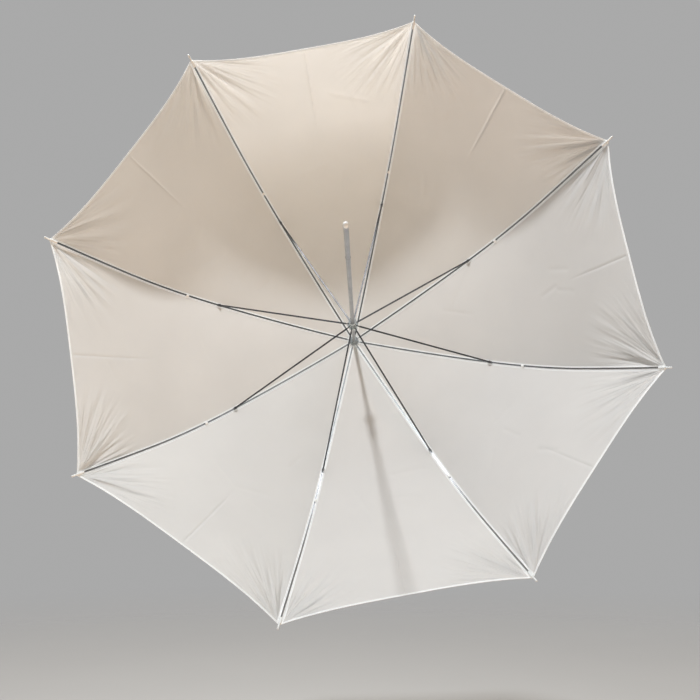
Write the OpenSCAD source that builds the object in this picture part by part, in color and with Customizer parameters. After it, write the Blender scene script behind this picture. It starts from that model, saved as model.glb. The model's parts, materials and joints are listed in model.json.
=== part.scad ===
// Eight-rib shoot-through umbrella reflector, open at rest.
// It is drawn with its shaft along Z and the crown pivots at depth 0, and then laid so that
// the free end of the shaft points to -Y and +Z is up.

/* [Shaft] */
// Outer diameter of the tube that a bracket clamps
shaft_d = 8; // [6:0.1:9]
// Wall thickness of the tube
shaft_wall = 0.9; // [0.6:0.1:1.2]
// Length of tube above the crown pivots, inside the ferrule
shaft_above = 15; // [10:1:20]
// Depth of the tube's free end below the crown pivots
shaft_below = 846; // [800:1:900]

/* [Ribs] */
// Turn of the first rib from straight up, clockwise seen from the free end
rib_phase = 12.3; // [0:0.1:44]
// Slope of a rib where it leaves the crown
rib_start = 8.3; // [4:0.1:12]
// Length of the gently bent part, from the crown pivot to the stretcher
inner_len = 335; // [320:1:345]
// Bend over that part, in degrees
inner_bend = 16; // [12:0.1:20]
// Length of the strongly bent part beyond the stretcher
knee_len = 230; // [200:1:260]
// Bend over that part
knee_bend = 29.6; // [24:0.1:32]
// Length of the nearly straight part that runs to the hem
outer_len = 195; // [160:1:230]
// Bend over that part
outer_bend = 4; // [2:0.1:8]
// Width of a rib's folded channel
rib_w = 3.6; // [3:0.1:4]
// Depth of a rib's folded channel
rib_h = 3; // [2.4:0.1:3.2]
// Sheet thickness of ribs and stretchers
channel_wall = 0.6; // [0.4:0.05:0.8]

/* [Hub] */
// Radius of the two wire rings that the ribs and stretchers pivot on
ring_r = 9; // [8.8:0.1:10]
// Wire radius of those rings
ring_wire_r = 0.8; // [0.6:0.05:0.9]
// Depth of the runner's ring below the crown pivots, umbrella open
runner_depth = 188; // [184:0.5:194]
// Length of the runner's sleeve below its ring
runner_len = 40; // [36:1:44]

/* [Stretchers] */
// Width of a stretcher's folded channel
stretcher_w = 3.2; // [2.8:0.1:3.4]
// Depth of a stretcher's folded channel
stretcher_h = 2.8; // [2.2:0.1:2.8]
// Distance of the stretcher's rivet from the rib's middle line
rivet_drop = 4.2; // [4:0.1:5]
// Length of the saddle that holds the rivet
saddle_len = 10; // [8:0.5:12]

/* [Canopy] */
// Distance of the cloth from the ribs' middle lines
cloth_gap = 3.2; // [3.1:0.1:4]
// Thickness of the cloth's solid
cloth_t = 0.5; // [0.3:0.1:1]
// How far the hem curves in midway between two tips
hem_dip = 18; // [5:1:40]
// Length of a tip's peg outside the hem
peg_len = 15; // [10:1:20]
// Radius of a tip's peg
peg_r = 1.8; // [1.4:0.1:2.2]
// Length and radius of a tip's sleeve on the rib
tip_sleeve = [15, 2.8]; // [10:1:20]

/* [Hidden] */
RIBS = 8;
PER_RIB = ["rib_inner", "rib_outer", "rib_tip", "joint_saddle", "stretcher", "canopy_gore"];
$fn = 64;

shaft_r = shaft_d / 2;
shaft_bore_r = shaft_r - shaft_wall;
rib_len = inner_len + knee_len + outer_len;

// running clearances, on the radius
slide_gap = 0.08;
pin_gap = 0.05;
push_gap = 0.03;

// the rib's wire eye and the flat blade around it
blade_t = 2;
blade_r = 1.7;
blade_len = 9;
blade_gap = 0.15;
// the eye is wider than the wire, because the wire's ring curves inside it
eye_r = ring_wire_r + 0.18;
channel_start = 7;

// hub rings: a slotted flange round the wire, on a sleeve
flange_r = 11.5;
flange_half = 3;
hub_sleeve_r = 6.6;
notch_top = 2.2;
notch_sleeve = 13;
notch_pin_depth = 8.5;
grip_r = 8.4;
grip_len = 4;
cross_pin_r = 1;

// the sprung catch just below the open runner
catch_top = runner_depth + runner_len + 1;
catch_slope = 15;
catch_reach = 2.4;
catch_len = 33;
catch_w = 2;
catch_t = 1.2;
catch_pin_r = 0.8;
catch_side = rib_direction(5) - 180 / RIBS;

// how far the ribs' joints stand from the axis when the umbrella is closed
closed_joint_r = 20;

// ---- the rib's middle line, in its own plane: [distance from the axis, depth] ----

// slope of the rib at distance s along it
function rib_slope(s) =
    s < inner_len ? rib_start + inner_bend * max(s, 0) / inner_len
    : s < inner_len + knee_len ? rib_start + inner_bend + knee_bend * (s - inner_len) / knee_len
    : rib_start + inner_bend + knee_bend
      + outer_bend * min(s - inner_len - knee_len, outer_len) / outer_len;

// end of an arc that starts at p with slope a and turns by bend over len
function arc_end(p, a, bend, len) =
    let (half = bend / 2, chord = len * (half > 0.001 ? sin(half) / (half * PI / 180) : 1))
    p + chord * [cos(a + half), sin(a + half)];

function rib_point(s) =
    s <= inner_len
    ? arc_end([ring_r, 0], rib_start, rib_slope(s) - rib_start, s)
    : s <= inner_len + knee_len
    ? arc_end(rib_point(inner_len), rib_slope(inner_len), rib_slope(s) - rib_slope(inner_len),
              s - inner_len)
    : arc_end(rib_point(inner_len + knee_len), rib_slope(inner_len + knee_len),
              rib_slope(s) - rib_slope(inner_len + knee_len), s - inner_len - knee_len);

// unit vector from the rib towards the inside of the umbrella
function rib_inward(s) = [-sin(rib_slope(s)), cos(rib_slope(s))];

// the stretcher's rivet, and the stretcher's length and slope at rest
saddle_s = inner_len - saddle_len / 2 - 1;
function rivet_point() = rib_point(saddle_s) + rivet_drop * rib_inward(saddle_s);
stretcher_run = [ring_r, runner_depth] - rivet_point();
stretcher_len = norm(stretcher_run);
stretcher_angle = atan2(stretcher_run[1], stretcher_run[0]);

// depth of the runner's ring when the ribs lie along the shaft
function closed_runner_depth() =
    let (joint = rib_point(inner_len) - [ring_r, 0],
         closed_joint_angle = acos((closed_joint_r - ring_r) / norm(joint)),
         turn = closed_joint_angle - atan2(joint[1], joint[0]),
         rivet = rivet_point() - [ring_r, 0],
         a = atan2(rivet[1], rivet[0]) + turn,
         out = norm(rivet) * cos(a))
    norm(rivet) * sin(a) + sqrt(stretcher_len * stretcher_len - out * out);

// the rolled bead that stops the closing runner
bead_depth = closed_runner_depth() + runner_len + 4;
bead_r = 0.9;

// the frame's origin is the middle of the plain tube beyond the bead
clamp_start = bead_depth + sqrt(bead_r * bead_r - 0.3 * 0.3);
origin_depth = (clamp_start + shaft_below) / 2;

// ---- placing ----

// direction of rib k about the shaft, clockwise from straight up
function rib_direction(k) = 90 - rib_phase - (k - 1) * 360 / RIBS;

module laid() {
    translate([0, origin_depth, 0]) rotate([90, 0, 0]) children();
}

// children are drawn in rib k's plane: x away from the axis, y along the depth
module in_rib_plane(k) {
    laid() rotate([0, 0, rib_direction(k)]) rotate([90, 0, 0]) children();
}

// a channel's outline, open towards the inside of the umbrella
module channel_outline(w, h) {
    difference() {
        square([h, w], center = true);
        translate([-channel_wall, 0]) square([h, w - 2 * channel_wall], center = true);
    }
}

// an outline carried along the rib from s0 to s1, both on the same arc
module along_rib(s0, s1) {
    a0 = rib_slope(s0);
    bend = rib_slope(s1) - a0;
    radius = (s1 - s0) / (bend * PI / 180);
    p = rib_point(s0) + radius * rib_inward(s0);
    translate([p[0], p[1], 0]) rotate([0, 0, a0 - 90])
        rotate_extrude(angle = bend) translate([radius, 0]) children();
}

// the flat blade with its eye, from the pivot along x
module blade(height) {
    difference() {
        union() {
            cylinder(r = blade_r, h = blade_t, center = true);
            translate([0, -height / 2, -blade_t / 2]) cube([blade_len, height, blade_t]);
        }
        cylinder(r = eye_r, h = blade_t + 1, center = true);
    }
}

module wire_ring(wire_r) {
    rotate_extrude() translate([ring_r, 0]) circle(r = wire_r);
}

// slots for the blades, open to the outside and along the shaft
module blade_slots() {
    for (k = [1:RIBS])
        rotate([0, 0, rib_direction(k)])
            translate([hub_sleeve_r, -blade_t / 2 - blade_gap, -50])
                cube([flange_r, blade_t + 2 * blade_gap, 100]);
}

module cross_pin(depth, radius, length) {
    translate([0, 0, depth]) rotate([0, 90, catch_side]) cylinder(r = radius, h = length, center = true);
}

// ---- shaft and its fittings ----

module shaft() {
    color([0.60, 0.60, 0.61]) laid() difference() {
        union() {
            translate([0, 0, -shaft_above]) cylinder(r = shaft_r, h = shaft_above + shaft_below);
            translate([0, 0, bead_depth])
                rotate_extrude() translate([shaft_r - 0.3, 0]) circle(r = bead_r);
        }
        translate([0, 0, -shaft_above - 1])
            cylinder(r = shaft_bore_r, h = shaft_above + shaft_below + 2);
        cross_pin(notch_pin_depth, cross_pin_r + push_gap, 3 * shaft_r);
        cross_pin(stop_pin_depth(), cross_pin_r + push_gap, 3 * shaft_r);
        rotate([0, 0, catch_side]) {
            translate([0, -catch_w / 2 - 0.2, catch_top - 0.5])
                cube([2 * shaft_r, catch_w + 0.4, catch_slope + 4]);
            translate([0, 0, catch_top + catch_len]) rotate([90, 0, 0])
                cylinder(r = catch_pin_r + push_gap, h = 3 * shaft_r, center = true);
        }
    }
}

function stop_pin_depth() = runner_depth - flange_half - cross_pin_r - 0.3;

module shaft_end_cap() {
    head_r = shaft_r + 0.2;
    head_len = 10;
    stem_len = 12;
    color([0.93, 0.92, 0.90]) laid() translate([0, 0, shaft_below + 0.05]) {
        rotate_extrude() {
            difference() {
                union() {
                    square([head_r, head_len - head_r]);
                    translate([0, head_len - head_r]) circle(r = head_r);
                }
                translate([-2 * head_r, -head_r]) square([2 * head_r, 3 * head_len]);
            }
        }
        translate([0, 0, -stem_len]) cylinder(r = shaft_bore_r - push_gap, h = stem_len + 1);
    }
}

module notch_pin() {
    color([0.55, 0.55, 0.56]) laid() cross_pin(notch_pin_depth, cross_pin_r, 2 * hub_sleeve_r - 0.2);
}

module stop_pin() {
    color([0.55, 0.55, 0.56]) laid() cross_pin(stop_pin_depth(), cross_pin_r, 14);
}

module catch_pin() {
    color([0.55, 0.55, 0.56]) laid() rotate([0, 0, catch_side])
        translate([0, 0, catch_top + catch_len]) rotate([90, 0, 0])
            cylinder(r = catch_pin_r, h = 2 * shaft_r - 0.4, center = true);
}

// a lever inside the tube whose nose stands out through the slot
module catch_spring() {
    nose_r = shaft_r + catch_reach;
    color([0.70, 0.70, 0.72]) laid() rotate([0, 0, catch_side]) difference() {
        rotate([90, 0, 0]) linear_extrude(height = catch_w, center = true) union() {
            polygon([[1, catch_top], [nose_r, catch_top], [nose_r, catch_top + 2],
                     [1 + catch_t, catch_top + catch_slope],
                     [catch_t / 2, catch_top + catch_len],
                     [-catch_t / 2, catch_top + catch_len], [1, catch_top + catch_slope]]);
            translate([0, catch_top + catch_len]) circle(r = 2 * catch_pin_r);
        }
        translate([0, 0, catch_top + catch_len]) rotate([90, 0, 0])
            cylinder(r = catch_pin_r + pin_gap, h = 2 * catch_w, center = true);
    }
}

// ---- crown ----

module top_notch() {
    color([0.78, 0.78, 0.78]) laid() difference() {
        union() {
            translate([0, 0, -notch_top]) cylinder(r = flange_r, h = notch_top + flange_half);
            translate([0, 0, -notch_top]) cylinder(r = hub_sleeve_r, h = notch_top + notch_sleeve);
        }
        cylinder(r = shaft_r + push_gap, h = 100, center = true);
        blade_slots();
        wire_ring(ring_wire_r + push_gap);
        cross_pin(notch_pin_depth, cross_pin_r + push_gap, 3 * hub_sleeve_r);
    }
}

module notch_wire() {
    color([0.70, 0.70, 0.72]) laid() wire_ring(ring_wire_r);
}

module crown_washer() {
    color([0.93, 0.92, 0.90]) laid() translate([0, 0, -cloth_gap - 2.2]) difference() {
        cylinder(r = 14, h = 1.2);
        cylinder(r = shaft_r + push_gap, h = 10, center = true);
    }
}

module ferrule() {
    base = -cloth_gap - 2.3;
    height = 26;
    color([0.93, 0.92, 0.90]) laid() difference() {
        translate([0, 0, base]) rotate([180, 0, 0]) rotate_extrude()
            polygon([[0, 0], [8, 0], [8, 2], [6.2, 4], [5.2, height - 4], [3.4, height - 1],
                     [0, height]]);
        translate([0, 0, -shaft_above - 0.5]) cylinder(r = shaft_r + push_gap, h = shaft_above + 5);
    }
}

// ---- runner ----

module runner() {
    color([0.80, 0.80, 0.80]) laid() translate([0, 0, runner_depth]) difference() {
        union() {
            translate([0, 0, -flange_half]) cylinder(r = flange_r, h = 2 * flange_half);
            translate([0, 0, -flange_half]) cylinder(r = hub_sleeve_r, h = flange_half + runner_len);
            translate([0, 0, runner_len - grip_len]) cylinder(r = grip_r, h = grip_len);
        }
        cylinder(r = shaft_r + slide_gap, h = 200, center = true);
        intersection() {
            blade_slots();
            cylinder(r = 2 * flange_r, h = 4 * flange_half, center = true);
        }
        wire_ring(ring_wire_r + push_gap);
    }
}

module runner_wire() {
    color([0.70, 0.70, 0.72]) laid() translate([0, 0, runner_depth]) wire_ring(ring_wire_r);
}

// ---- one rib, its tip, its saddle, its stretcher and the cloth beside it ----

module rib_inner(k) {
    color([0.72, 0.73, 0.74]) in_rib_plane(k) {
        difference() {
            along_rib(channel_start, inner_len) channel_outline(rib_w, rib_h);
            translate([ring_r, 0, 0]) cylinder(r = eye_r, h = 10, center = true);
        }
        translate([ring_r, 0, 0]) rotate([0, 0, rib_start]) blade(rib_h - 0.2);
    }
}

module rib_outer(k) {
    color([0.72, 0.73, 0.74]) in_rib_plane(k) {
        along_rib(inner_len + 0.05, inner_len + knee_len) channel_outline(rib_w, rib_h);
        along_rib(inner_len + knee_len, rib_len - 1) channel_outline(rib_w, rib_h);
    }
}

module rib_tip(k) {
    at = rib_point(rib_len);
    color([0.94, 0.94, 0.92]) in_rib_plane(k)
        translate([at[0], at[1], 0]) rotate([0, 0, rib_slope(rib_len)]) difference() {
            rotate([0, 90, 0]) rotate_extrude() {
                translate([0, -tip_sleeve[0]]) square([tip_sleeve[1], tip_sleeve[0]]);
                polygon([[0, 0], [tip_sleeve[1], 0], [peg_r, 1.5], [0, 1.5]]);
                square([peg_r, peg_len - peg_r]);
                intersection() {
                    translate([0, peg_len - peg_r]) circle(r = peg_r);
                    square([peg_r, peg_len]);
                }
            }
            translate([-tip_sleeve[0] - 1, -rib_h / 2 - 0.1, -rib_w / 2 - 0.1])
                cube([tip_sleeve[0], rib_h + 0.2, rib_w + 0.2]);
        }
}

// a folded clip over the rib, with a rivet through its two ears
module joint_saddle(k) {
    at = rib_point(saddle_s);
    inside_w = rib_w + 2 * push_gap;
    wall = 0.6;
    top = -rib_h / 2 - push_gap - wall;
    ear_r = 2.2;
    in_rib_plane(k) translate([at[0], at[1], 0]) rotate([0, 0, rib_slope(saddle_s)]) {
        color([0.50, 0.50, 0.51]) difference() {
            linear_extrude(height = inside_w + 2 * wall, center = true) {
                polygon([[-saddle_len / 2, top], [saddle_len / 2, top], [saddle_len / 2, 1.5],
                         [ear_r, rivet_drop], [-ear_r, rivet_drop], [-saddle_len / 2, 1.5]]);
                translate([0, rivet_drop]) circle(r = ear_r);
            }
            translate([-saddle_len, top + wall, -inside_w / 2])
                cube([2 * saddle_len, 20, inside_w]);
            translate([0, rivet_drop, 0]) cylinder(r = 1, h = 20, center = true);
        }
        color([0.30, 0.30, 0.31]) translate([0, rivet_drop, 0]) {
            cylinder(r = 1 - pin_gap, h = inside_w + 2 * wall + 1, center = true);
            for (side = [-1, 1])
                translate([0, 0, side * (inside_w / 2 + wall + 0.3)])
                    cylinder(r = 1.6, h = 0.5, center = true);
        }
    }
}

module stretcher(k) {
    at = rivet_point();
    channel_end = stretcher_len - channel_start;
    color([0.72, 0.73, 0.74]) in_rib_plane(k)
        translate([at[0], at[1], 0]) rotate([0, 0, stretcher_angle]) {
            difference() {
                translate([-1.6, 0, 0]) rotate([0, 90, 0]) rotate([0, 0, 90])
                    linear_extrude(height = channel_end + 1.6)
                        rotate([0, 0, 180]) channel_outline(stretcher_w, stretcher_h);
                cylinder(r = 1, h = 10, center = true);
            }
            translate([stretcher_len, 0, 0]) rotate([0, 0, 180]) blade(stretcher_h);
        }
}

// ---- cloth: one gore between rib k and the next, drawn flat across between its ribs ----

GORE_ROWS = 20;
GORE_COLUMNS = 8;
cloth_start = -3.5;
seam_gap = 0.1;

function hem_s(t) = rib_len - hem_dip * (1 - pow(abs(2 * t - 1), 3.3));

// a point of the cloth over rib k at distance s along it, lifted outward by lift
function cloth_over_rib(k, s, lift, side) =
    let (p = rib_point(s) - lift * rib_inward(s), d = rib_direction(k))
    [p[0] * cos(d), p[0] * sin(d), p[1]] + side * seam_gap * [sin(d), -cos(d), 0];

function gore_point(k, row, column, lift) =
    let (t = column / GORE_COLUMNS,
         s = cloth_start + (hem_s(t) - cloth_start) * row / GORE_ROWS)
    (1 - t) * cloth_over_rib(k, s, lift, 1) + t * cloth_over_rib(k + 1, s, lift, -1);

function gore_layer(k, lift) =
    [for (row = [0:GORE_ROWS]) for (column = [0:GORE_COLUMNS]) gore_point(k, row, column, lift)];

// number of a grid point, in the inner layer (0) or the outer layer (1)
function at(row, column, layer) =
    (layer * (GORE_ROWS + 1) + row) * (GORE_COLUMNS + 1) + column;

function two_triangles(a, b, c, d) = [[a, b, c], [a, c, d]];

module canopy_gore(k) {
    layers = [for (row = [0:GORE_ROWS - 1]) for (column = [0:GORE_COLUMNS - 1]) each concat(
        two_triangles(at(row, column, 0), at(row, column + 1, 0),
                      at(row + 1, column + 1, 0), at(row + 1, column, 0)),
        two_triangles(at(row, column, 1), at(row + 1, column, 1),
                      at(row + 1, column + 1, 1), at(row, column + 1, 1)))];
    ends = [for (column = [0:GORE_COLUMNS - 1]) each concat(
        two_triangles(at(0, column, 0), at(0, column, 1), at(0, column + 1, 1), at(0, column + 1, 0)),
        two_triangles(at(GORE_ROWS, column + 1, 0), at(GORE_ROWS, column + 1, 1),
                      at(GORE_ROWS, column, 1), at(GORE_ROWS, column, 0)))];
    sides = [for (row = [0:GORE_ROWS - 1]) each concat(
        two_triangles(at(row + 1, 0, 0), at(row + 1, 0, 1), at(row, 0, 1), at(row, 0, 0)),
        two_triangles(at(row, GORE_COLUMNS, 0), at(row, GORE_COLUMNS, 1),
                      at(row + 1, GORE_COLUMNS, 1), at(row + 1, GORE_COLUMNS, 0)))];
    color([0.90, 0.89, 0.87]) laid()
        polyhedron(points = concat(gore_layer(k, cloth_gap), gore_layer(k, cloth_gap + cloth_t)),
                   faces = concat(layers, ends, sides));
}

shaft();
shaft_end_cap();
top_notch();
notch_wire();
notch_pin();
ferrule();
crown_washer();
runner();
runner_wire();
catch_spring();
catch_pin();
stop_pin();
for (k = [1:RIBS]) {
    rib_inner(k);
    rib_outer(k);
    rib_tip(k);
    joint_saddle(k);
    stretcher(k);
    canopy_gore(k);
}
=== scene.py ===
"""Shoot-through umbrella reflector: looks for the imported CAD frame.

Lengths inside the geometry functions are millimetres in the plane of a rib: r is the distance from
the shaft's axis and z the depth below the crown pivots. s is the distance along a rib and share
the place across a gore, 0 at one rib and 1 at the next. to_row() turns r and z into metres in the
frame of the part, where the free end of the shaft points to -Y and +Z is up.
"""

import json
import math

import bpy
import numpy as np
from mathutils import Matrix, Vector


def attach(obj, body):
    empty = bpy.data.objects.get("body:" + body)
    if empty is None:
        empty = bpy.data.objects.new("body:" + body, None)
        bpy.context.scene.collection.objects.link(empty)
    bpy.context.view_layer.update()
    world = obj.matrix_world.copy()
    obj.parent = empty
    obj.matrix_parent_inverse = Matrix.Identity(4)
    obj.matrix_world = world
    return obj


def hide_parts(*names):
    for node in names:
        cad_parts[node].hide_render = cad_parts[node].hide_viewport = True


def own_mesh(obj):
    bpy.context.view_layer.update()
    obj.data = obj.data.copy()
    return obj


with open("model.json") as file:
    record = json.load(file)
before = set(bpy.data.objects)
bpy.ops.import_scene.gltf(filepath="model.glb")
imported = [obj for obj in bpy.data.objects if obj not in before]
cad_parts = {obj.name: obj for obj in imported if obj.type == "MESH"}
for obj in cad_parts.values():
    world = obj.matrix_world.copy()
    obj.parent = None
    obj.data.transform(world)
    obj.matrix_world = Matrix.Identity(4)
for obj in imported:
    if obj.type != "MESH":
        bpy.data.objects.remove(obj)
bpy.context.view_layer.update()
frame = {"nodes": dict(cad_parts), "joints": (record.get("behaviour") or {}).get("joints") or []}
joints = {joint["name"]: joint for joint in frame["joints"]}

MM = 0.001

# ---- the umbrella's dimensions, as in the CAD source ----

RIBS = 8
RIB_PHASE = 12.3  # degrees of rib 1 from straight up
RIB_START = 8.3  # degrees of slope where a rib leaves its pivot
INNER_LEN = 335.0
INNER_BEND = 16.0  # degrees, as the next two bends
KNEE_LEN = 230.0
KNEE_BEND = 29.6
OUTER_LEN = 195.0
OUTER_BEND = 4.0
RIB_LEN = INNER_LEN + KNEE_LEN + OUTER_LEN
RING_R = 9.0  # the rib pivots' distance from the shaft's axis
CLOTH_GAP = 3.2  # from a rib's middle line out to the cloth
HEM_DIP = 18.0  # how far the hem curves in between two ribs
HEM_POWER = 3.3  # higher makes the hem's curve flatter in the middle
DIP_POWER = 1.6  # higher keeps the rows of cloth points straight until nearer the hem
CLOTH_START = -3.5  # where the cloth begins, just inside the pivots
CROWN_Y = joints["rib_1_pivot"]["pos_m"][1] / MM


def rib_direction(k):
    """Angle of rib k in the X-Z plane, in radians."""
    return math.radians(90 - RIB_PHASE - (k - 1) * 360 / RIBS)


ARCS = [
    (0.0, INNER_LEN, math.radians(RIB_START), math.radians(INNER_BEND)),
    (INNER_LEN, KNEE_LEN, math.radians(RIB_START + INNER_BEND), math.radians(KNEE_BEND)),
    (INNER_LEN + KNEE_LEN, OUTER_LEN,
     math.radians(RIB_START + INNER_BEND + KNEE_BEND), math.radians(OUTER_BEND)),
]


def rib_curve(s):
    """Middle line of a rib at distances s along it: r, z and the slope in radians."""
    s = np.asarray(s, float)
    r = np.full(s.shape, RING_R)
    z = np.zeros(s.shape)
    slope = np.full(s.shape, ARCS[0][2])
    for start, length, slope_0, bend in ARCS:
        last = start + length >= RIB_LEN
        run = np.clip(s - start, 0, None if last else length)
        curvature = bend / length
        angle = slope_0 + curvature * run
        r = r + (np.sin(angle) - math.sin(slope_0)) / curvature
        z = z + (math.cos(slope_0) - np.cos(angle)) / curvature
        slope = np.where(s > start, angle, slope)
    before = np.minimum(s, 0)
    return r + before * math.cos(ARCS[0][2]), z + before * math.sin(ARCS[0][2]), slope


def offset_from_rib(s, inward):
    """r and z of points over a rib, moved by inward to the hollow side."""
    r, z, slope = rib_curve(s)
    return r - inward * np.sin(slope), z + inward * np.cos(slope)


def to_row(r, z, direction, side=0.0):
    """Points of a rib's plane, moved sideways by side, in metres in the row frame."""
    x = r * math.cos(direction) + side * math.sin(direction)
    height = r * math.sin(direction) - side * math.cos(direction)
    return np.stack([x * np.ones_like(z), CROWN_Y - z, height * np.ones_like(z)], axis=-1) * MM


def smoothstep(low, high, value):
    """0 up to low, 1 from high, and smooth in between."""
    t = np.clip((value - low) / (high - low), 0, 1)
    return t * t * (3 - 2 * t)


# ---- materials ----


def material(name):
    """A new node material: its node tree, its Principled node and its output."""
    made = bpy.data.materials.new(name)
    made.use_nodes = True
    tree = made.node_tree
    return made, tree, tree.nodes["Principled BSDF"], tree.nodes["Material Output"]


def node(tree, kind, **settings):
    """A new node, each setting going to the input of that name or else to the node itself."""
    made = tree.nodes.new(kind)
    for key, value in settings.items():
        if key in made.inputs:
            made.inputs[key].default_value = value
        else:
            setattr(made, key, value)
    return made


def noise(tree, scale, detail=3.0, stretch=(1.0, 1.0, 1.0)):
    """Noise in object coordinates, scale in features per metre."""
    place = node(tree, "ShaderNodeTexCoord")
    mapping = node(tree, "ShaderNodeMapping", Scale=stretch)
    texture = node(tree, "ShaderNodeTexNoise", Scale=scale, Detail=detail)
    tree.links.new(place.outputs["Object"], mapping.inputs["Vector"])
    tree.links.new(mapping.outputs["Vector"], texture.inputs["Vector"])
    return texture.outputs["Fac"]


# Noise seldom leaves this range, so it is stretched from here
NOISE_LOW = 0.25
NOISE_HIGH = 0.75


def remap(tree, value, low, high):
    """The usual range of noise, or of openness, spread over low to high."""
    made = node(tree, "ShaderNodeMapRange")
    made.inputs["From Min"].default_value = NOISE_LOW
    made.inputs["From Max"].default_value = NOISE_HIGH
    made.inputs["To Min"].default_value = low
    made.inputs["To Max"].default_value = high
    tree.links.new(value, made.inputs["Value"])
    return made.outputs["Result"]


# Places of the colour sockets of a Mix node
MIX_FACTOR = 0
MIX_FIRST = 6
MIX_SECOND = 7
MIX_RESULT = 2


def mix_colour(tree, factor, first, second):
    """From the first colour at factor 0 to the second at 1."""
    made = node(tree, "ShaderNodeMix", data_type="RGBA")
    made.inputs[MIX_FIRST].default_value = (*first, 1)
    made.inputs[MIX_SECOND].default_value = (*second, 1)
    tree.links.new(factor, made.inputs[MIX_FACTOR])
    return made.outputs[MIX_RESULT]


def bump(tree, height, strength, distance):
    """Normals of a surface with this relief."""
    made = node(tree, "ShaderNodeBump", Strength=strength, Distance=distance)
    tree.links.new(height, made.inputs["Height"])
    return made.outputs["Normal"]


BLOTCH_SCALE = 45.0
FINE_GRAIN = 900.0
GRAIN_DEPTH = 0.0002
METAL_GRAIN = 0.15
POLISHED = 0.8
SCUFFED = 1.25


def metal(name, dark, light, rough, grain=FINE_GRAIN, stretch=(1, 1, 1), hollow=None,
          metallic=1.0, shadow=1.0):
    """Metal with blotches of tone, a fine grain, uneven polish, and painted shade that darkens
    its colour in its hollows.

    hollow is the reach of the painted shade in metres and the share of the tone left in its
    depth.
    shadow is the share of its shadow that it keeps.
    """
    made, tree, shader, output = material(name)
    blotch = noise(tree, BLOTCH_SCALE)
    fine = noise(tree, grain, stretch=stretch)
    colour = mix_colour(tree, remap(tree, blotch, 0, 1), dark, light)
    if hollow:
        reach, depth = hollow
        # Painted shade: the colour is darkened where ambient occlusion finds the metal closed in,
        # as in a rib's channel.
        open_share = node(tree, "ShaderNodeAmbientOcclusion", Distance=reach, samples=6)
        painted_hollow_shade = remap(tree, open_share.outputs["AO"], depth, 1.0)
        shaded = node(tree, "ShaderNodeVectorMath", operation="SCALE")
        tree.links.new(colour, shaded.inputs[0])
        tree.links.new(painted_hollow_shade, shaded.inputs["Scale"])
        colour = shaded.outputs["Vector"]
    tree.links.new(colour, shader.inputs["Base Color"])
    tree.links.new(remap(tree, fine, rough * POLISHED, rough * SCUFFED),
                   shader.inputs["Roughness"])
    tree.links.new(bump(tree, fine, METAL_GRAIN, GRAIN_DEPTH), shader.inputs["Normal"])
    shader.inputs["Metallic"].default_value = metallic
    if shadow < 1.0:
        soften_shadow(tree, shader, output, shadow)
    return made


def soften_shadow(tree, shader, output, shadow):
    """Let part of the light past a thin piece, so that its shadow is weaker."""
    rays = node(tree, "ShaderNodeLightPath")
    share = node(tree, "ShaderNodeMath", operation="MULTIPLY")
    share.inputs[1].default_value = 1.0 - shadow
    clear = node(tree, "ShaderNodeBsdfTransparent")
    both = node(tree, "ShaderNodeMixShader")
    tree.links.new(rays.outputs["Is Shadow Ray"], share.inputs[0])
    tree.links.new(share.outputs["Value"], both.inputs["Fac"])
    tree.links.new(shader.outputs["BSDF"], both.inputs[1])
    tree.links.new(clear.outputs["BSDF"], both.inputs[2])
    tree.links.new(both.outputs["Shader"], output.inputs["Surface"])


SKIN_SCALE = 700.0
SKIN_BUMP = 0.08
HANDLING_SCALE = 60.0
HANDLED_TONE = 0.93
HANDLED_ROUGH = 1.4
PLASTIC_GLOW = 0.12
PLASTIC_DEPTH = 0.002


def plastic(name, colour, rough):
    """Moulded plastic with a faint orange-peel skin, duller and darker where it is handled."""
    made, tree, shader, _ = material(name)
    skin = noise(tree, SKIN_SCALE)
    tone = noise(tree, HANDLING_SCALE)
    darker = tuple(c * HANDLED_TONE for c in colour)
    tree.links.new(mix_colour(tree, remap(tree, tone, 0, 1), darker, colour),
                   shader.inputs["Base Color"])
    tree.links.new(remap(tree, tone, rough, rough * HANDLED_ROUGH), shader.inputs["Roughness"])
    tree.links.new(bump(tree, skin, SKIN_BUMP, GRAIN_DEPTH), shader.inputs["Normal"])
    shader.inputs["Subsurface Weight"].default_value = PLASTIC_GLOW
    shader.inputs["Subsurface Radius"].default_value = (PLASTIC_DEPTH,) * 3
    return made


# The cloth's small folds: where they begin and end (m from a rib's tip), how many there are,
# how much they wander, and how high they are for each metre from the tip
PUCKER_NEAR = 0.012
PUCKER_FAR = 0.21
PUCKERS_PER_RADIAN = 8.0
PUCKER_STRAY = 9.0
PUCKER_HEIGHT = 0.12


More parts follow.
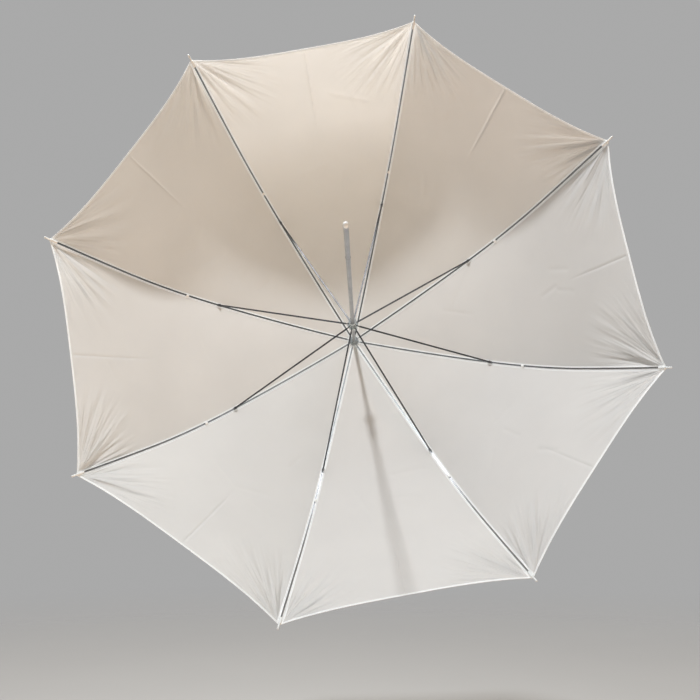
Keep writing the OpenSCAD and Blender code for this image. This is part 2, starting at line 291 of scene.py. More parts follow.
def puckers(tree):
    """Normals of the small folds that fan out from a rib's tip and fade away from it."""
    links = tree.links
    polar = node(tree, "ShaderNodeAttribute", attribute_name="from_tip")
    parts = node(tree, "ShaderNodeSeparateXYZ")
    links.new(polar.outputs["Vector"], parts.inputs["Vector"])
    stretched = node(tree, "ShaderNodeMapping", Scale=(PUCKER_STRAY, PUCKERS_PER_RADIAN, 1))
    links.new(polar.outputs["Vector"], stretched.inputs["Vector"])
    folds = node(tree, "ShaderNodeTexNoise", Scale=1.0, Detail=1.5)
    links.new(stretched.outputs["Vector"], folds.inputs["Vector"])
    fade = node(tree, "ShaderNodeMapRange", interpolation_type="SMOOTHSTEP")
    fade.inputs["From Min"].default_value = PUCKER_FAR
    fade.inputs["From Max"].default_value = PUCKER_NEAR
    links.new(parts.outputs["X"], fade.inputs["Value"])
    grow = node(tree, "ShaderNodeMath", operation="MULTIPLY")
    links.new(parts.outputs["X"], grow.inputs[0])
    links.new(fade.outputs["Result"], grow.inputs[1])
    height = node(tree, "ShaderNodeMath", operation="MULTIPLY")
    links.new(folds.outputs["Fac"], height.inputs[0])
    links.new(grow.outputs["Value"], height.inputs[1])
    made = node(tree, "ShaderNodeBump", Strength=1.0, Distance=PUCKER_HEIGHT)
    links.new(height.outputs["Value"], made.inputs["Height"])
    return made.outputs["Normal"]


STITCH_LENGTH = 0.0032
STITCH_HALF_WIDTH = 0.0003
STITCH_DEPTH = 0.0003
# Painted shade: how much darker the stitches are painted.
STITCH_PAINTED_SHADE = 0.8
STITCH_GAP = -0.45  # the part of a sine wave below this is the gap between two stitches


def stitches(tree):
    """Mask of a row of stitches, from the places along and off its line kept on the mesh."""
    links = tree.links
    line = node(tree, "ShaderNodeAttribute", attribute_name="stitch_line")
    parts = node(tree, "ShaderNodeSeparateXYZ")
    links.new(line.outputs["Vector"], parts.inputs["Vector"])
    turns = node(tree, "ShaderNodeMath", operation="MULTIPLY")
    turns.inputs[1].default_value = 2 * math.pi / STITCH_LENGTH
    links.new(parts.outputs["X"], turns.inputs[0])
    wave = node(tree, "ShaderNodeMath", operation="SINE")
    links.new(turns.outputs["Value"], wave.inputs[0])
    dash = node(tree, "ShaderNodeMath", operation="GREATER_THAN")
    dash.inputs[1].default_value = STITCH_GAP
    links.new(wave.outputs["Value"], dash.inputs[0])
    off = node(tree, "ShaderNodeMath", operation="ABSOLUTE")
    links.new(parts.outputs["Y"], off.inputs[0])
    near = node(tree, "ShaderNodeMapRange", interpolation_type="SMOOTHSTEP")
    near.inputs["From Min"].default_value = 1.5 * STITCH_HALF_WIDTH
    near.inputs["From Max"].default_value = 0.5 * STITCH_HALF_WIDTH
    links.new(off.outputs["Value"], near.inputs["Value"])
    mask = node(tree, "ShaderNodeMath", operation="MULTIPLY")
    links.new(dash.outputs["Value"], mask.inputs[0])
    links.new(near.outputs["Result"], mask.inputs[1])
    return mask.outputs["Value"]


WEAVE_PITCH = 0.8 * MM
WAVE_TEXTURE_TURN = 20  # radians that a wave texture turns through in one unit
WEAVE_BUMP = 0.12
WEAVE_DEPTH = 0.00008
CLOUD_SCALE = 9.0
CLOUD_TONE = 0.965
SLUB_SCALE = 160.0
CLOTH_ROUGH = (0.5, 0.66)
CLOTH_SHEEN = 0.15
CLOTH_SHINE = 0.3
# Painted light: the colour of the glow given to the hem and the seam.
PAINTED_GLOW_COLOUR = (1.0, 0.97, 0.92)


def cloth_material(name, colour, through, painted_glow=0.0, stitched=False):
    """Thin woven nylon that lets light through, with its threads along and across the gore.

    through is the share of its light that comes from the other side.
    """
    made, tree, shader, output = material(name)
    links = tree.links
    uv = node(tree, "ShaderNodeUVMap", uv_map="threads")
    wave_scale = 2 * math.pi / (WAVE_TEXTURE_TURN * WEAVE_PITCH)
    threads = []
    for direction in ("X", "Y"):
        wave = node(tree, "ShaderNodeTexWave", Scale=wave_scale, bands_direction=direction)
        links.new(uv.outputs["UV"], wave.inputs["Vector"])
        threads.append(wave.outputs["Fac"])
    weave = node(tree, "ShaderNodeMath", operation="MULTIPLY")
    links.new(threads[0], weave.inputs[0])
    links.new(threads[1], weave.inputs[1])
    cloud = noise(tree, CLOUD_SCALE, detail=4.0)
    slub = noise(tree, SLUB_SCALE, detail=2.0)
    darker = tuple(c * CLOUD_TONE for c in colour)
    tint = mix_colour(tree, remap(tree, cloud, 0, 1), darker, colour)
    fold_normal = puckers(tree)
    if stitched:
        mask = stitches(tree)
        # Painted shade: the stitches are painted darker, for the shade in their sunk line.
        painted_stitch_shade = node(tree, "ShaderNodeMix", data_type="RGBA")
        painted_stitch_shade.inputs[MIX_SECOND].default_value = (*(c * STITCH_PAINTED_SHADE for c in colour), 1)
        links.new(mask, painted_stitch_shade.inputs[MIX_FACTOR])
        links.new(tint, painted_stitch_shade.inputs[MIX_FIRST])
        tint = painted_stitch_shade.outputs[MIX_RESULT]
        sunk = node(tree, "ShaderNodeBump", Strength=1.0, Distance=STITCH_DEPTH)
        links.new(mask, sunk.inputs["Height"])
        links.new(fold_normal, sunk.inputs["Normal"])
        fold_normal = sunk.outputs["Normal"]
    links.new(tint, shader.inputs["Base Color"])
    links.new(remap(tree, slub, *CLOTH_ROUGH), shader.inputs["Roughness"])
    weave_bump = node(tree, "ShaderNodeBump", Strength=WEAVE_BUMP, Distance=WEAVE_DEPTH)
    links.new(weave.outputs[0], weave_bump.inputs["Height"])
    links.new(fold_normal, weave_bump.inputs["Normal"])
    links.new(weave_bump.outputs["Normal"], shader.inputs["Normal"])
    shader.inputs["Sheen Weight"].default_value = CLOTH_SHEEN
    shader.inputs["Specular IOR Level"].default_value = CLOTH_SHINE
    # Painted light: an emission makes the cloth glow, though it is no lamp.
    shader.inputs["Emission Color"].default_value = (*PAINTED_GLOW_COLOUR, 1)
    shader.inputs["Emission Strength"].default_value = painted_glow
    see_through = node(tree, "ShaderNodeBsdfTranslucent")
    links.new(tint, see_through.inputs["Color"])
    links.new(weave_bump.outputs["Normal"], see_through.inputs["Normal"])
    both = node(tree, "ShaderNodeMixShader")
    both.inputs["Fac"].default_value = through
    links.new(shader.outputs["BSDF"], both.inputs[1])
    links.new(see_through.outputs["BSDF"], both.inputs[2])
    links.new(both.outputs["Shader"], output.inputs["Surface"])
    return made


CLOTH = cloth_material("white_nylon", (0.90, 0.885, 0.865), 0.45)
# Painted light: the hem and the seam are given a glow and a colour whiter than the cloth's, which
# make them stand out bright.
HEM = cloth_material("folded_nylon_hem_painted_glow", (0.98, 0.975, 0.96), 0.18, painted_glow=0.13, stitched=True)
SEAM = cloth_material("doubled_nylon_seam_painted_glow", (0.98, 0.98, 0.975), 0.27, painted_glow=0.19,
                      stitched=True)
THIN_SHADOW = 0.25  # soft light wraps round a rib, so it keeps only this share of its shadow
# Painted shade: the hollow setting darkens the ribs, stretchers and hub in their channels and
# hollows.
RIB_STEEL = metal("zinc_rib_steel", (0.46, 0.47, 0.48), (0.66, 0.67, 0.69), 0.36,
                  hollow=(0.004, 0.08), shadow=THIN_SHADOW)
# The inner ribs are the rib steel with lighter painted shade in their channels and a little less
# roughness.
INNER_RIB_STEEL = metal("inner_rib_steel_painted_shade", (0.46, 0.48, 0.48), (0.66, 0.68, 0.68), 0.30,
                        hollow=(0.003, 0.22), shadow=THIN_SHADOW)
# Painted shade: the stretchers' near-black colour stands for their shaded channels and the dark
# they reflect.
STRETCHER_STEEL = metal("stretcher_steel_painted_shade", (0.08, 0.08, 0.085), (0.15, 0.15, 0.155), 0.38,
                        hollow=(0.004, 0.15), shadow=0.04)
SADDLE_STEEL = metal("dull_saddle_steel", (0.22, 0.22, 0.23), (0.38, 0.38, 0.39), 0.36)
TUBE = metal("satin_aluminium_tube", (0.38, 0.38, 0.39), (0.48, 0.48, 0.49), 0.34,
             grain=500.0, stretch=(1, 0.03, 1))
HUB_METAL = metal("bright_hub_metal", (0.78, 0.88, 0.89), (0.92, 0.98, 0.98), 0.16,
                  hollow=(0.0026, 0.04), metallic=0.78)
SPRING_STEEL = metal("spring_steel", (0.35, 0.36, 0.38), (0.50, 0.51, 0.53), 0.28)
WHITE_PLASTIC = plastic("white_gloss_plastic", (0.86, 0.86, 0.84), 0.22)
THREAD = plastic("white_thread", (0.96, 0.96, 0.94), 0.7)

CAD_FINISHES = {
    "rib_inner": INNER_RIB_STEEL,
    "rib_outer": RIB_STEEL,
    "stretcher": STRETCHER_STEEL,
    "joint_saddle": SADDLE_STEEL,
    "rib_tip": WHITE_PLASTIC,
    "shaft_end_cap": WHITE_PLASTIC,
    "ferrule": WHITE_PLASTIC,
    "shaft": TUBE,
    "runner": HUB_METAL,
    "runner_wire": RIB_STEEL,
    "notch_wire": RIB_STEEL,
    "top_notch": HUB_METAL,
    "crown_washer": HUB_METAL,
    "notch_pin": SADDLE_STEEL,
    "catch_pin": SADDLE_STEEL,
    "stop_pin": SADDLE_STEEL,
    "catch_spring": SPRING_STEEL,
}


def finish_cad_nodes():
    """Give each CAD node the material of its kind, found from its name without its number."""
    for name, item in frame["nodes"].items():
        kind = name.rstrip("0123456789").rstrip("_")
        if kind in CAD_FINISHES:
            item.data.materials.clear()
            item.data.materials.append(CAD_FINISHES[kind])


finish_cad_nodes()

# ---- canopy ----

INNER_ROWS = 56
OUTER_ROWS = 92
HALF_COLUMNS = 48
SEAM_COLUMNS = (5.2, 6.0)  # distances from the rib of the seam's last two columns of points
SEAM_SHARES = (0.10, 0.14)  # their largest shares of half a row, which count near the crown
CREASE_COLUMN = 1.4  # distance of the last column of points from the middle of the gore
CREASE_SHARE = 0.06
COLUMN_CROWDING = 0.06  # how far the columns crowd towards the seam and the middle
CLOTH_T = 0.4
SEAM_T = 1.0
HEM_WIDTH = 4.4
HEM_ROWS = (4.4, 3.8, 0.5, 0.0)  # distances of the hem's rows of points from its edge
HEM_BULGE = (0.0, 0.7, 0.7, 0.1)  # how much thicker each of them is on each face
HEM_STITCH = 3.3  # distance of the hem's stitches from its edge
SEAM_STITCH = 4.4  # distance of the seam's stitches from the rib
EDGE_SLACK = 0.1  # keeps a point on the limit inside it
CHORD = 2 * math.sin(math.pi / RIBS)  # distance between neighbouring ribs for each mm of r


def row_distances():
    """Distances along the rib of the rows of cloth points: inner rows, then outer rows."""
    inner = np.linspace(CLOTH_START, INNER_LEN, INNER_ROWS + 1)
    outer = np.linspace(INNER_LEN, RIB_LEN - HEM_WIDTH, OUTER_ROWS + 1)[1:]
    hem = np.array([RIB_LEN - distance for distance in HEM_ROWS[1:]])
    return np.concatenate([inner, outer, hem])


def column_shares(half_width):
    """Shares of the whole width at which a row has points, from one rib to the next."""
    seam = np.minimum(SEAM_COLUMNS, half_width * np.array(SEAM_SHARES))
    crease = min(CREASE_COLUMN, half_width * CREASE_SHARE)
    u = np.linspace(0, 1, HALF_COLUMNS - 2)
    spread = u - COLUMN_CROWDING * np.sin(2 * math.pi * u)
    room = half_width - seam[1] - crease
    side = np.concatenate([[0.0, seam[0]], seam[1] + room * spread, [half_width]])
    half = side / (2 * half_width)
    return np.concatenate([half, 1 - half[-2::-1]])


# Tension folds at a rib's tip: how many, the degrees from the rib of the first and their spread,
# and the ranges of their length, of their half width at the tip and of their height
WRINKLES = 8
WRINKLE_FIRST = 4
WRINKLE_SPREAD = 62
WRINKLE_LENGTH = (110, 215)
WRINKLE_WIDTH = (2.2, 3.8)
WRINKLE_HEIGHT = (1.6, 3.0)
WRINKLE_WIDENING = 0.035
WRINKLE_SWAY = 0.12
WRINKLES_INWARD = 0.35
WRINKLE_RISE = (6, 34)


def wrinkles(seed, reach, angle):
    """Ridges that fan out from a rib's tip, at polar places reach (mm) and angle (radians)."""
    draw = np.random.default_rng(seed)
    height = np.zeros_like(reach)
    for index in range(WRINKLES):
        place = (index + draw.uniform(0.2, 0.8)) / WRINKLES
        heading = math.radians(WRINKLE_FIRST + WRINKLE_SPREAD * place)
        length = draw.uniform(*WRINKLE_LENGTH)
        width = draw.uniform(*WRINKLE_WIDTH) + WRINKLE_WIDENING * reach
        size = draw.uniform(*WRINKLE_HEIGHT)
        size *= draw.choice([-1, 1], p=[WRINKLES_INWARD, 1 - WRINKLES_INWARD])
        sway = draw.uniform(-WRINKLE_SWAY, WRINKLE_SWAY) * (reach / length) ** 2
        across = reach * (angle - heading - sway) / width
        fade = 1 - smoothstep(0.25 * length, length, reach)
        height += size * np.exp(-across ** 2) * smoothstep(*WRINKLE_RISE, reach) * fade
    return height


# Fold lines left from packing: the long one down the middle of a gore, then the short ones.
# The ranges are of where each begins or lies along the rib, its length and its height.
LONG_CREASE_SEED = 900
LONG_CREASE_START = (150, 230)
LONG_CREASE_HEIGHT = (0.9, 1.3)
LONG_CREASE_WIDTH = 1.6
LONG_CREASE_END = (32, 18)
SHORT_CREASES = 4
SHORT_CREASE_S = (260, 640)
SHORT_CREASE_OFF = 0.3
SHORT_CREASE_TURN = 0.5
SHORT_CREASE_REACH = (25, 60)
SHORT_CREASE_HEIGHT = (0.5, 0.9)
SHORT_CREASE_WIDTH = 5.0


def creases(gore, s, share, width):
    """Height of the fold lines that stay in the cloth of a gore from being packed."""
    draw = np.random.default_rng(LONG_CREASE_SEED + gore)
    across = (share - 0.5) * width
    start = RIB_LEN - draw.uniform(*LONG_CREASE_START)
    last, gone = LONG_CREASE_END
    begins = smoothstep(start - 30, start + 60, s)
    fade = begins * (1 - smoothstep(RIB_LEN - last, RIB_LEN - gone, s))
    line = np.exp(-(across / LONG_CREASE_WIDTH) ** 2)
    height = draw.uniform(*LONG_CREASE_HEIGHT) * line * fade
    for _ in range(SHORT_CREASES):
        middle_s = draw.uniform(*SHORT_CREASE_S)
        gore_width = CHORD * middle_s * 0.8
        middle_x = draw.uniform(-SHORT_CREASE_OFF, SHORT_CREASE_OFF) * gore_width
        turn = draw.uniform(-SHORT_CREASE_TURN, SHORT_CREASE_TURN)
        turn += draw.choice([0, math.pi / 2])
        along = (across - middle_x) * math.cos(turn) + (s - middle_s) * math.sin(turn)
        off = -(across - middle_x) * math.sin(turn) + (s - middle_s) * math.cos(turn)
        reach = draw.uniform(*SHORT_CREASE_REACH)
        ends = 1 - smoothstep(0.6 * reach, reach, np.abs(along))
        line = np.exp(-(off / SHORT_CREASE_WIDTH) ** 2)
        height += draw.uniform(*SHORT_CREASE_HEIGHT) * line * ends
    return height


GORE_SAG = 5.0
SAG_LEAN = 1.1  # above 1 it moves the deepest sag towards the hem
WRINKLE_SEED_STEP = 100


def relief(gore, s, share, width):
    """Height of the cloth over its plain form, outward, in mm."""
    middle = 4 * share * (1 - share)
    along = np.clip(s / RIB_LEN, 0, 1)
    height = -GORE_SAG * middle * np.sin(math.pi * along ** SAG_LEAN)
    back = np.maximum(RIB_LEN - s, 0)
    for corner, across in enumerate((share * width, (1 - share) * width)):
        reach = np.hypot(across, back)
        angle = np.arctan2(across, back)
        height += wrinkles(WRINKLE_SEED_STEP * gore + corner, reach, angle)
    return height + creases(gore, s, share, width)


def gore_grid(gore):
    """A grid of points over the whole gore between two ribs.

    Returns the points (mm), their outward unit normals, and each one's distance along the rib,
    share of the width, and the width there.
    """
    base_s = row_distances()
    left = rib_direction(gore)
    right = rib_direction(gore + 1)
    rows = []
    all_s = []
    shares = []
    widths = []
    for s0 in base_s:
        r0, _, _ = rib_curve(s0)
        share = column_shares(CHORD * float(r0) / 2)
        dip = HEM_DIP * (1 - np.abs(2 * share - 1) ** HEM_POWER)
        outward = max(0.0, (s0 - INNER_LEN) / (RIB_LEN - INNER_LEN))
        s = s0 - dip * outward ** DIP_POWER
        r, z = offset_from_rib(s, -CLOTH_GAP)
        at_left = to_row(r, z, left)
        at_right = to_row(r, z, right)
        rows.append(at_left + (at_right - at_left) * share[:, None])
        all_s.append(s)
        shares.append(share)
        widths.append(CHORD * r)
    plain = np.array(rows) / MM
    s = np.array(all_s)
    share = np.array(shares)
    width = np.array(widths)
    lift = relief(gore, s, share, width)
    points = plain + unit_normals(plain) * lift[..., None]
    return points, unit_normals(points), s, share, width


def unit_normals(points):
    """Outward unit normals of a grid of points."""
    along = np.gradient(points, axis=0)
    across = np.gradient(points, axis=1)
    normal = np.cross(along, across)
    normal /= np.linalg.norm(normal, axis=-1, keepdims=True)
    return normal


PUCKER_SEED_STEP = 3.7  # apart in the noise, so that no two half gores pucker alike
CLOTH_SLOT = 0
HEM_SLOT = 1
SEAM_SLOT = 2


def vector_attribute(mesh, name, values):
    """Keep a vector on each point of a shell's mesh, the same on its inner and outer face."""
    made = mesh.attributes.new(name, "FLOAT_VECTOR", "POINT")
    both_faces = np.tile(values.reshape(-1, 3), (2, 1))
    made.data.foreach_set("vector", both_faces.ravel().astype(np.float32))


def shell(name, pucker_seed, points, normals, inside, outside, s, share, width, hem):
    """A closed thin shell over a grid of points, smooth over its two faces.

    inside and outside are how far its faces stand from the points, and hem is the distance
    from the hem's edge.
    """
    rows, columns = points.shape[:2]
    low = points - normals * inside[..., None]
    high = points + normals * outside[..., None]
    vertices = np.concatenate([low.reshape(-1, 3), high.reshape(-1, 3)]) * MM
    count = rows * columns
    index = np.arange(count).reshape(rows, columns)
    a, b = index[:-1, :-1].ravel(), index[:-1, 1:].ravel()
    c, d = index[1:, 1:].ravel(), index[1:, :-1].ravel()
    under = np.stack([a, b, c, d], axis=1)
    over = np.stack([a, d, c, b], axis=1) + count
    ring = np.concatenate([index[0, :], index[1:, -1], index[-1, -2::-1], index[-2:0:-1, 0]])
    following = np.roll(ring, -1)
    wall = np.stack([ring, ring + count, following + count, following], axis=1)
    faces = np.concatenate([under, over, wall])
    mesh = bpy.data.meshes.new(name)
    mesh.from_pydata(vertices.tolist(), [], faces.tolist())
    mesh.polygons.foreach_set("use_smooth", np.ones(len(faces), bool))
    face_normals = normals.reshape(-1, 3)
    wall_normals = np.cross(vertices[wall[:, 1]] - vertices[wall[:, 0]],
                            vertices[wall[:, 3]] - vertices[wall[:, 0]])
    wall_normals /= np.maximum(np.linalg.norm(wall_normals, axis=1, keepdims=True), 1e-12)
    loops = np.concatenate([
        -face_normals[under.ravel()],
        face_normals[over.ravel() - count],
        np.repeat(wall_normals, 4, axis=0),
    ])
    threads = mesh.uv_layers.new(name="threads")
    place = np.stack([(share * width).ravel(), s.ravel()], axis=1) * MM
    place = np.concatenate([place, place])
    threads.data.foreach_set("uv", place[faces.ravel()].ravel().astype(np.float32))
    to_rib = np.minimum(share, 1 - share) * width
    to_end = np.maximum(RIB_LEN - s, 0)
    seed = np.full(s.shape, PUCKER_SEED_STEP * float(pucker_seed))
    polar = np.stack([np.hypot(to_rib, to_end) * MM, np.arctan2(to_rib, to_end), seed], axis=-1)
    vector_attribute(mesh, "from_tip", polar)
    on_hem = hem < HEM_WIDTH + EDGE_SLACK
    on_seam = to_rib < SEAM_COLUMNS[1] + EDGE_SLACK
    run = np.where(on_hem, share * width, s)
    off = np.where(on_hem, hem - HEM_STITCH, to_rib - SEAM_STITCH)
    vector_attribute(mesh, "stitch_line", np.stack([run, off, np.zeros_like(off)], axis=-1) * MM)
    mesh.normals_split_custom_set(loops.tolist())
    for cloth in (CLOTH, HEM, SEAM):
        mesh.materials.append(cloth)
    slot = np.full(s.shape, CLOTH_SLOT)
    slot[on_seam] = SEAM_SLOT
    slot[on_hem] = HEM_SLOT
    corners = np.stack([slot[:-1, :-1], slot[1:, 1:], slot[:-1, 1:], slot[1:, :-1]])
    plain = (corners == CLOTH_SLOT).any(axis=0)
    face_slot = np.where(plain, CLOTH_SLOT, corners.max(axis=0)).ravel()
    wall_slot = np.minimum(slot.ravel()[ring], slot.ravel()[following])
    slots = np.concatenate([face_slot, face_slot, wall_slot])
    mesh.polygons.foreach_set("material_index", slots.astype(np.int32))
    item = bpy.data.objects.new(name, mesh)
    bpy.context.scene.collection.objects.link(item)
    return item


def fold(item):
    """Give the piece a mesh of its own."""
    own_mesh(item)


def build_gore(gore):
    """The four pieces of a gore: inner and outer, beside one rib and beside the next."""
    points, normals, s, share, width = gore_grid(gore)
    columns = share.shape[1]
    middle = columns // 2
    hem = np.repeat((RIB_LEN - row_distances())[:, None], columns, axis=1)
    bulge = np.zeros_like(share)
    bulge[-len(HEM_ROWS):] = np.array(HEM_BULGE)[:, None]
    inside = bulge.copy()
    outside = CLOTH_T + bulge
    outside[:, [0, 1, -1, -2]] = np.maximum(outside[:, [0, 1, -1, -2]], SEAM_T)
    outside[-1] = CLOTH_T
    grids = (points, normals, inside, outside, s, share, width, hem)
    halves = (
        (1, "right", gore, slice(0, middle + 1)),
        (-1, "left", gore % RIBS + 1, slice(middle, columns)),
    )
    for side, hand, rib, cut in halves:
        for part, band in (("inner", slice(0, INNER_ROWS + 1)), ("outer", slice(INNER_ROWS, None))):
            pieces = [grid[band, cut] for grid in grids]
            item = shell(f"cloth_{part}_{rib}_{hand}", 2 * gore + (side < 0), *pieces)
            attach(item, f"rib_{rib}" if part == "inner" else f"rib_{rib}_end")
            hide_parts(f"canopy_gore_{gore}")
            fold(item)


for gore_number in range(1, RIBS + 1):
    build_gore(gore_number)

# ---- threads that tie the cloth to the ribs ----

TIE_S = 408.0
TIE_TURNS = 7
TIE_PITCH = 0.9
TIE_THREAD_R = 0.7
TIE_HALF_WIDTH = 2.6
TIE_HALF_DEPTH = 2.75
TIE_MIDDLE = -0.7  # between the rib's middle line and the cloth
TIE_POINTS = 28
TIE_SQUARENESS = 0.6  # 1 is round, and less is squarer


def squarish(wave):
    """A sine or cosine turned into that of a loop with flatter sides."""
    return np.sign(wave) * np.abs(wave) ** TIE_SQUARENESS


def tube(points, radius, sides=8):
    """A closed ring of tube along points that run round in a loop: vertices and faces."""
    count = len(points)
    ahead = np.roll(points, -1, axis=0) - np.roll(points, 1, axis=0)
    ahead /= np.linalg.norm(ahead, axis=1, keepdims=True)
    centre = points.mean(axis=0)
    plane = np.cross(points[0] - centre, points[count // 4] - centre)
    plane /= np.linalg.norm(plane)
    out = np.cross(ahead, plane)
    vertices = []
    for turn in range(sides):
        angle = 2 * math.pi * turn / sides
        vertices.append(points + radius * (math.cos(angle) * out + math.sin(angle) * plane))
    vertices = np.stack(vertices, axis=1).reshape(-1, 3)
    faces = []
    for i in range(count):
        for j in range(sides):
            here = i * sides + j
            beside = i * sides + (j + 1) % sides
            ahead_i = (i + 1) % count * sides
            faces.append((here, beside, ahead_i + (j + 1) % sides, ahead_i + j))
    return vertices, faces


def build_tie(rib):
    """Turns of thread round a rib and the cloth's seam."""
    direction = rib_direction(rib)
    vertices = []
    faces = []
    phase = np.linspace(0, 2 * math.pi, TIE_POINTS, endpoint=False)
    side = TIE_HALF_WIDTH * squarish(np.cos(phase))
    depth = TIE_MIDDLE + TIE_HALF_DEPTH * squarish(np.sin(phase))
    for turn in range(TIE_TURNS):
        along = TIE_S + (turn - (TIE_TURNS - 1) / 2) * TIE_PITCH
        r, z = offset_from_rib(np.full(TIE_POINTS, along), depth)
        made, quads = tube(to_row(r, z, direction, side), TIE_THREAD_R * MM)
        start = sum(len(v) for v in vertices)
        vertices.append(made)
        faces += [tuple(v + start for v in quad) for quad in quads]
    mesh = bpy.data.meshes.new(f"thread_tie_{rib}")
    mesh.from_pydata(np.concatenate(vertices).tolist(), [], faces)
    mesh.polygons.foreach_set("use_smooth", np.ones(len(faces), bool))
    mesh.materials.append(THREAD)
    item = bpy.data.objects.new(f"thread_tie_{rib}", mesh)
    bpy.context.scene.collection.objects.link(item)
    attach(item, f"rib_{rib}_end")


for rib_number in range(1, RIBS + 1):
    build_tie(rib_number)

# ---- stage, light and camera ----

FLOOR_Z = -1.1
FLOOR_R = 6.0
FLOOR_SIDES = 96
FLOOR_TONES = ((0.60, 0.60, 0.60), (0.64, 0.64, 0.64))
FLOOR_FADE = (1.6, FLOOR_R - 0.2)
BACKDROP = (0.40, 0.40, 0.40)
AMBIENT = (0.185, 0.195, 0.205)


def build_floor():
    """A pale round floor that fades into the backdrop."""
    vertices = [(0, 0, FLOOR_Z)]
    for i in range(FLOOR_SIDES):
        angle = 2 * math.pi * i / FLOOR_SIDES
        vertices.append((FLOOR_R * math.cos(angle), FLOOR_R * math.sin(angle), FLOOR_Z))
    faces = [(0, i + 1, (i + 1) % FLOOR_SIDES + 1) for i in range(FLOOR_SIDES)]
    mesh = bpy.data.meshes.new("floor")
    mesh.from_pydata(vertices, [], faces)
    made, tree, shader, output = material("pale_floor")
    shader.inputs["Roughness"].default_value = 0.9
    tree.links.new(mix_colour(tree, noise(tree, 1.5), *FLOOR_TONES), shader.inputs["Base Color"])
    place = node(tree, "ShaderNodeTexCoord")
    distance = node(tree, "ShaderNodeVectorMath", operation="LENGTH")
    fade = node(tree, "ShaderNodeMapRange", interpolation_type="SMOOTHSTEP")
    fade.inputs["From Min"].default_value = FLOOR_FADE[0]
    fade.inputs["From Max"].default_value = FLOOR_FADE[1]
    clear = node(tree, "ShaderNodeBsdfTransparent")
    both = node(tree, "ShaderNodeMixShader")
    tree.links.new(place.outputs["Object"], distance.inputs[0])
    tree.links.new(distance.outputs["Value"], fade.inputs["Value"])
    tree.links.new(fade.outputs["Result"], both.inputs["Fac"])
    tree.links.new(shader.outputs["BSDF"], both.inputs[1])
    tree.links.new(clear.outputs["BSDF"], both.inputs[2])
    tree.links.new(both.outputs["Shader"], output.inputs["Surface"])
    mesh.materials.append(made)
    item = bpy.data.objects.new("floor", mesh)
    bpy.context.scene.collection.objects.link(item)
    item.visible_shadow = False


build_floor()


# What metal reflects: how high up the change starts and ends, and its tones below and above
SHINE_HEIGHTS = (0.05, 0.75)
SHINE_LOW = (0.10, 0.10, 0.105)
SHINE_HIGH = (0.95, 0.95, 0.96)


def build_world():
    """A plain grey backdrop and soft light. What shines in metal is darker low down."""
    world = bpy.data.worlds.new("soft_studio")
    world.use_nodes = True
    tree = world.node_tree
    output = tree.nodes["World Output"]
    place = node(tree, "ShaderNodeTexCoord")
    parts = node(tree, "ShaderNodeSeparateXYZ")
    tree.links.new(place.outputs["Generated"], parts.inputs["Vector"])
    rays = node(tree, "ShaderNodeLightPath")
    light = tree.nodes["Background"]
    light.inputs["Color"].default_value = (*AMBIENT, 1)
    shine = node(tree, "ShaderNodeBackground")
    height = node(tree, "ShaderNodeMapRange", interpolation_type="SMOOTHSTEP")
    height.inputs["From Min"].default_value = SHINE_HEIGHTS[0]
    height.inputs["From Max"].default_value = SHINE_HEIGHTS[1]
    tree.links.new(parts.outputs["Z"], height.inputs["Value"])
    tree.links.new(mix_colour(tree, height.outputs["Result"], SHINE_LOW, SHINE_HIGH),
                   shine.inputs["Color"])
    seen = node(tree, "ShaderNodeBackground", Color=(*BACKDROP, 1))
    glossy = node(tree, "ShaderNodeMixShader")
    both = node(tree, "ShaderNodeMixShader")
    tree.links.new(rays.outputs["Is Glossy Ray"], glossy.inputs["Fac"])
    tree.links.new(light.outputs["Background"], glossy.inputs[1])
    tree.links.new(shine.outputs["Background"], glossy.inputs[2])
    tree.links.new(rays.outputs["Is Camera Ray"], both.inputs["Fac"])
    tree.links.new(glossy.outputs["Shader"], both.inputs[1])
    tree.links.new(seen.outputs["Background"], both.inputs[2])
    tree.links.new(both.outputs["Shader"], output.inputs["Surface"])
    bpy.context.scene.world = world


build_world()


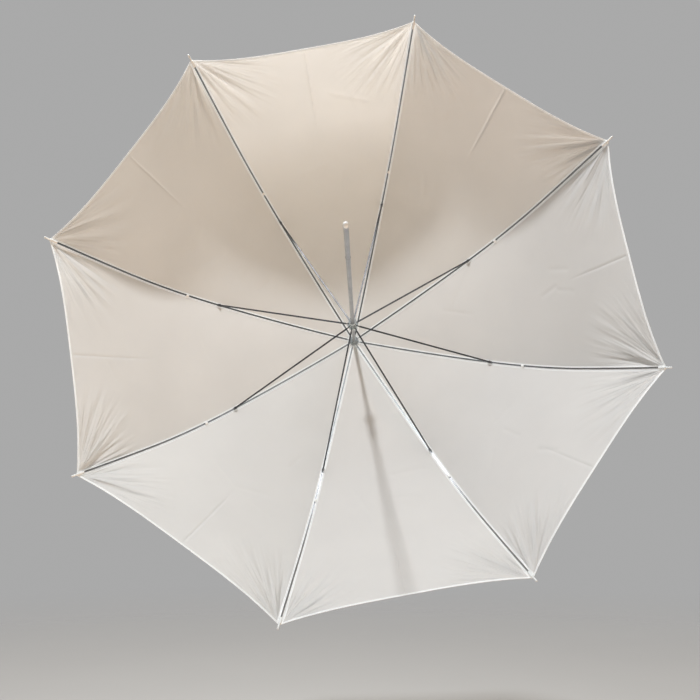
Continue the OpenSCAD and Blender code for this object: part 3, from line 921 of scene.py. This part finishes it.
def area_light(name, place, target, size, power, colour):
    """A round lamp at a place, turned to its target, with its size in metres and power in watts."""
    light = bpy.data.lights.new(name, "AREA")
    light.shape = "DISK"
    light.size = size
    light.energy = power
    light.color = colour
    item = bpy.data.objects.new(name, light)
    item.location = place
    item.rotation_euler = (Vector(target) - Vector(place)).to_track_quat("-Z", "Y").to_euler()
    bpy.context.scene.collection.objects.link(item)
    return item


def soft_sun(name, towards, spread, power, colour):
    """Soft light from the side given by towards, which leaves no shine on the metal."""
    light = bpy.data.lights.new(name, "SUN")
    light.angle = spread
    light.energy = power
    light.color = colour
    item = bpy.data.objects.new(name, light)
    item.rotation_euler = Vector(towards).to_track_quat("Z", "Y").to_euler()
    item.visible_glossy = False
    bpy.context.scene.collection.objects.link(item)


# The key light throws the shaft's shadow. near_top and crown_fill come through the cloth from
# outside. The warm suns stand for light thrown back by the room.
area_light("key", (-0.40, -0.88, 2.10), (0, 0.5, -0.1), 0.17, 57, (0.93, 0.965, 1.0))
near_top = area_light("near_top", (-0.1, 0.33, 1.22), (0, 0.5, 0.4), 0.6, 8.2, (0.94, 0.98, 1.0))
near_top.visible_glossy = False
area_light("crown_fill", (0.0, 1.35, 0.85), (0, 0.7, 0.15), 0.35, 1.4, (1.0, 0.80, 0.30))
soft_sun("warm_below", (0.45, -0.6, -0.7), 1.0, 1.26, (1.0, 0.53, 0.18))
soft_sun("warm_right", (0.85, -0.5, 0.1), 1.0, 0.12, (1.0, 0.77, 0.2))
soft_sun("behind", (-0.5, 0.6, 0.6), 1.0, 1.9, (1.0, 0.88, 0.74))

bpy.context.scene.view_settings.view_transform = "Standard"

# The camera of the photograph, as fitted to the umbrella's geometry
CAMERA_PLACE = (0.0246, -1.1179, -0.3652)
CAMERA_AHEAD = (-0.0177, 0.9838, 0.1783)
CAMERA_LENS = 40.32
SENSOR_WIDTH = 36.0

camera = bpy.data.objects.new("camera", bpy.data.cameras.new("camera"))
camera.data.lens = CAMERA_LENS
camera.data.sensor_width = SENSOR_WIDTH
camera.data.clip_start = 0.01
camera.location = CAMERA_PLACE
camera.rotation_euler = Vector(CAMERA_AHEAD).to_track_quat("-Z", "Y").to_euler()
bpy.context.scene.collection.objects.link(camera)
bpy.context.scene.camera = camera
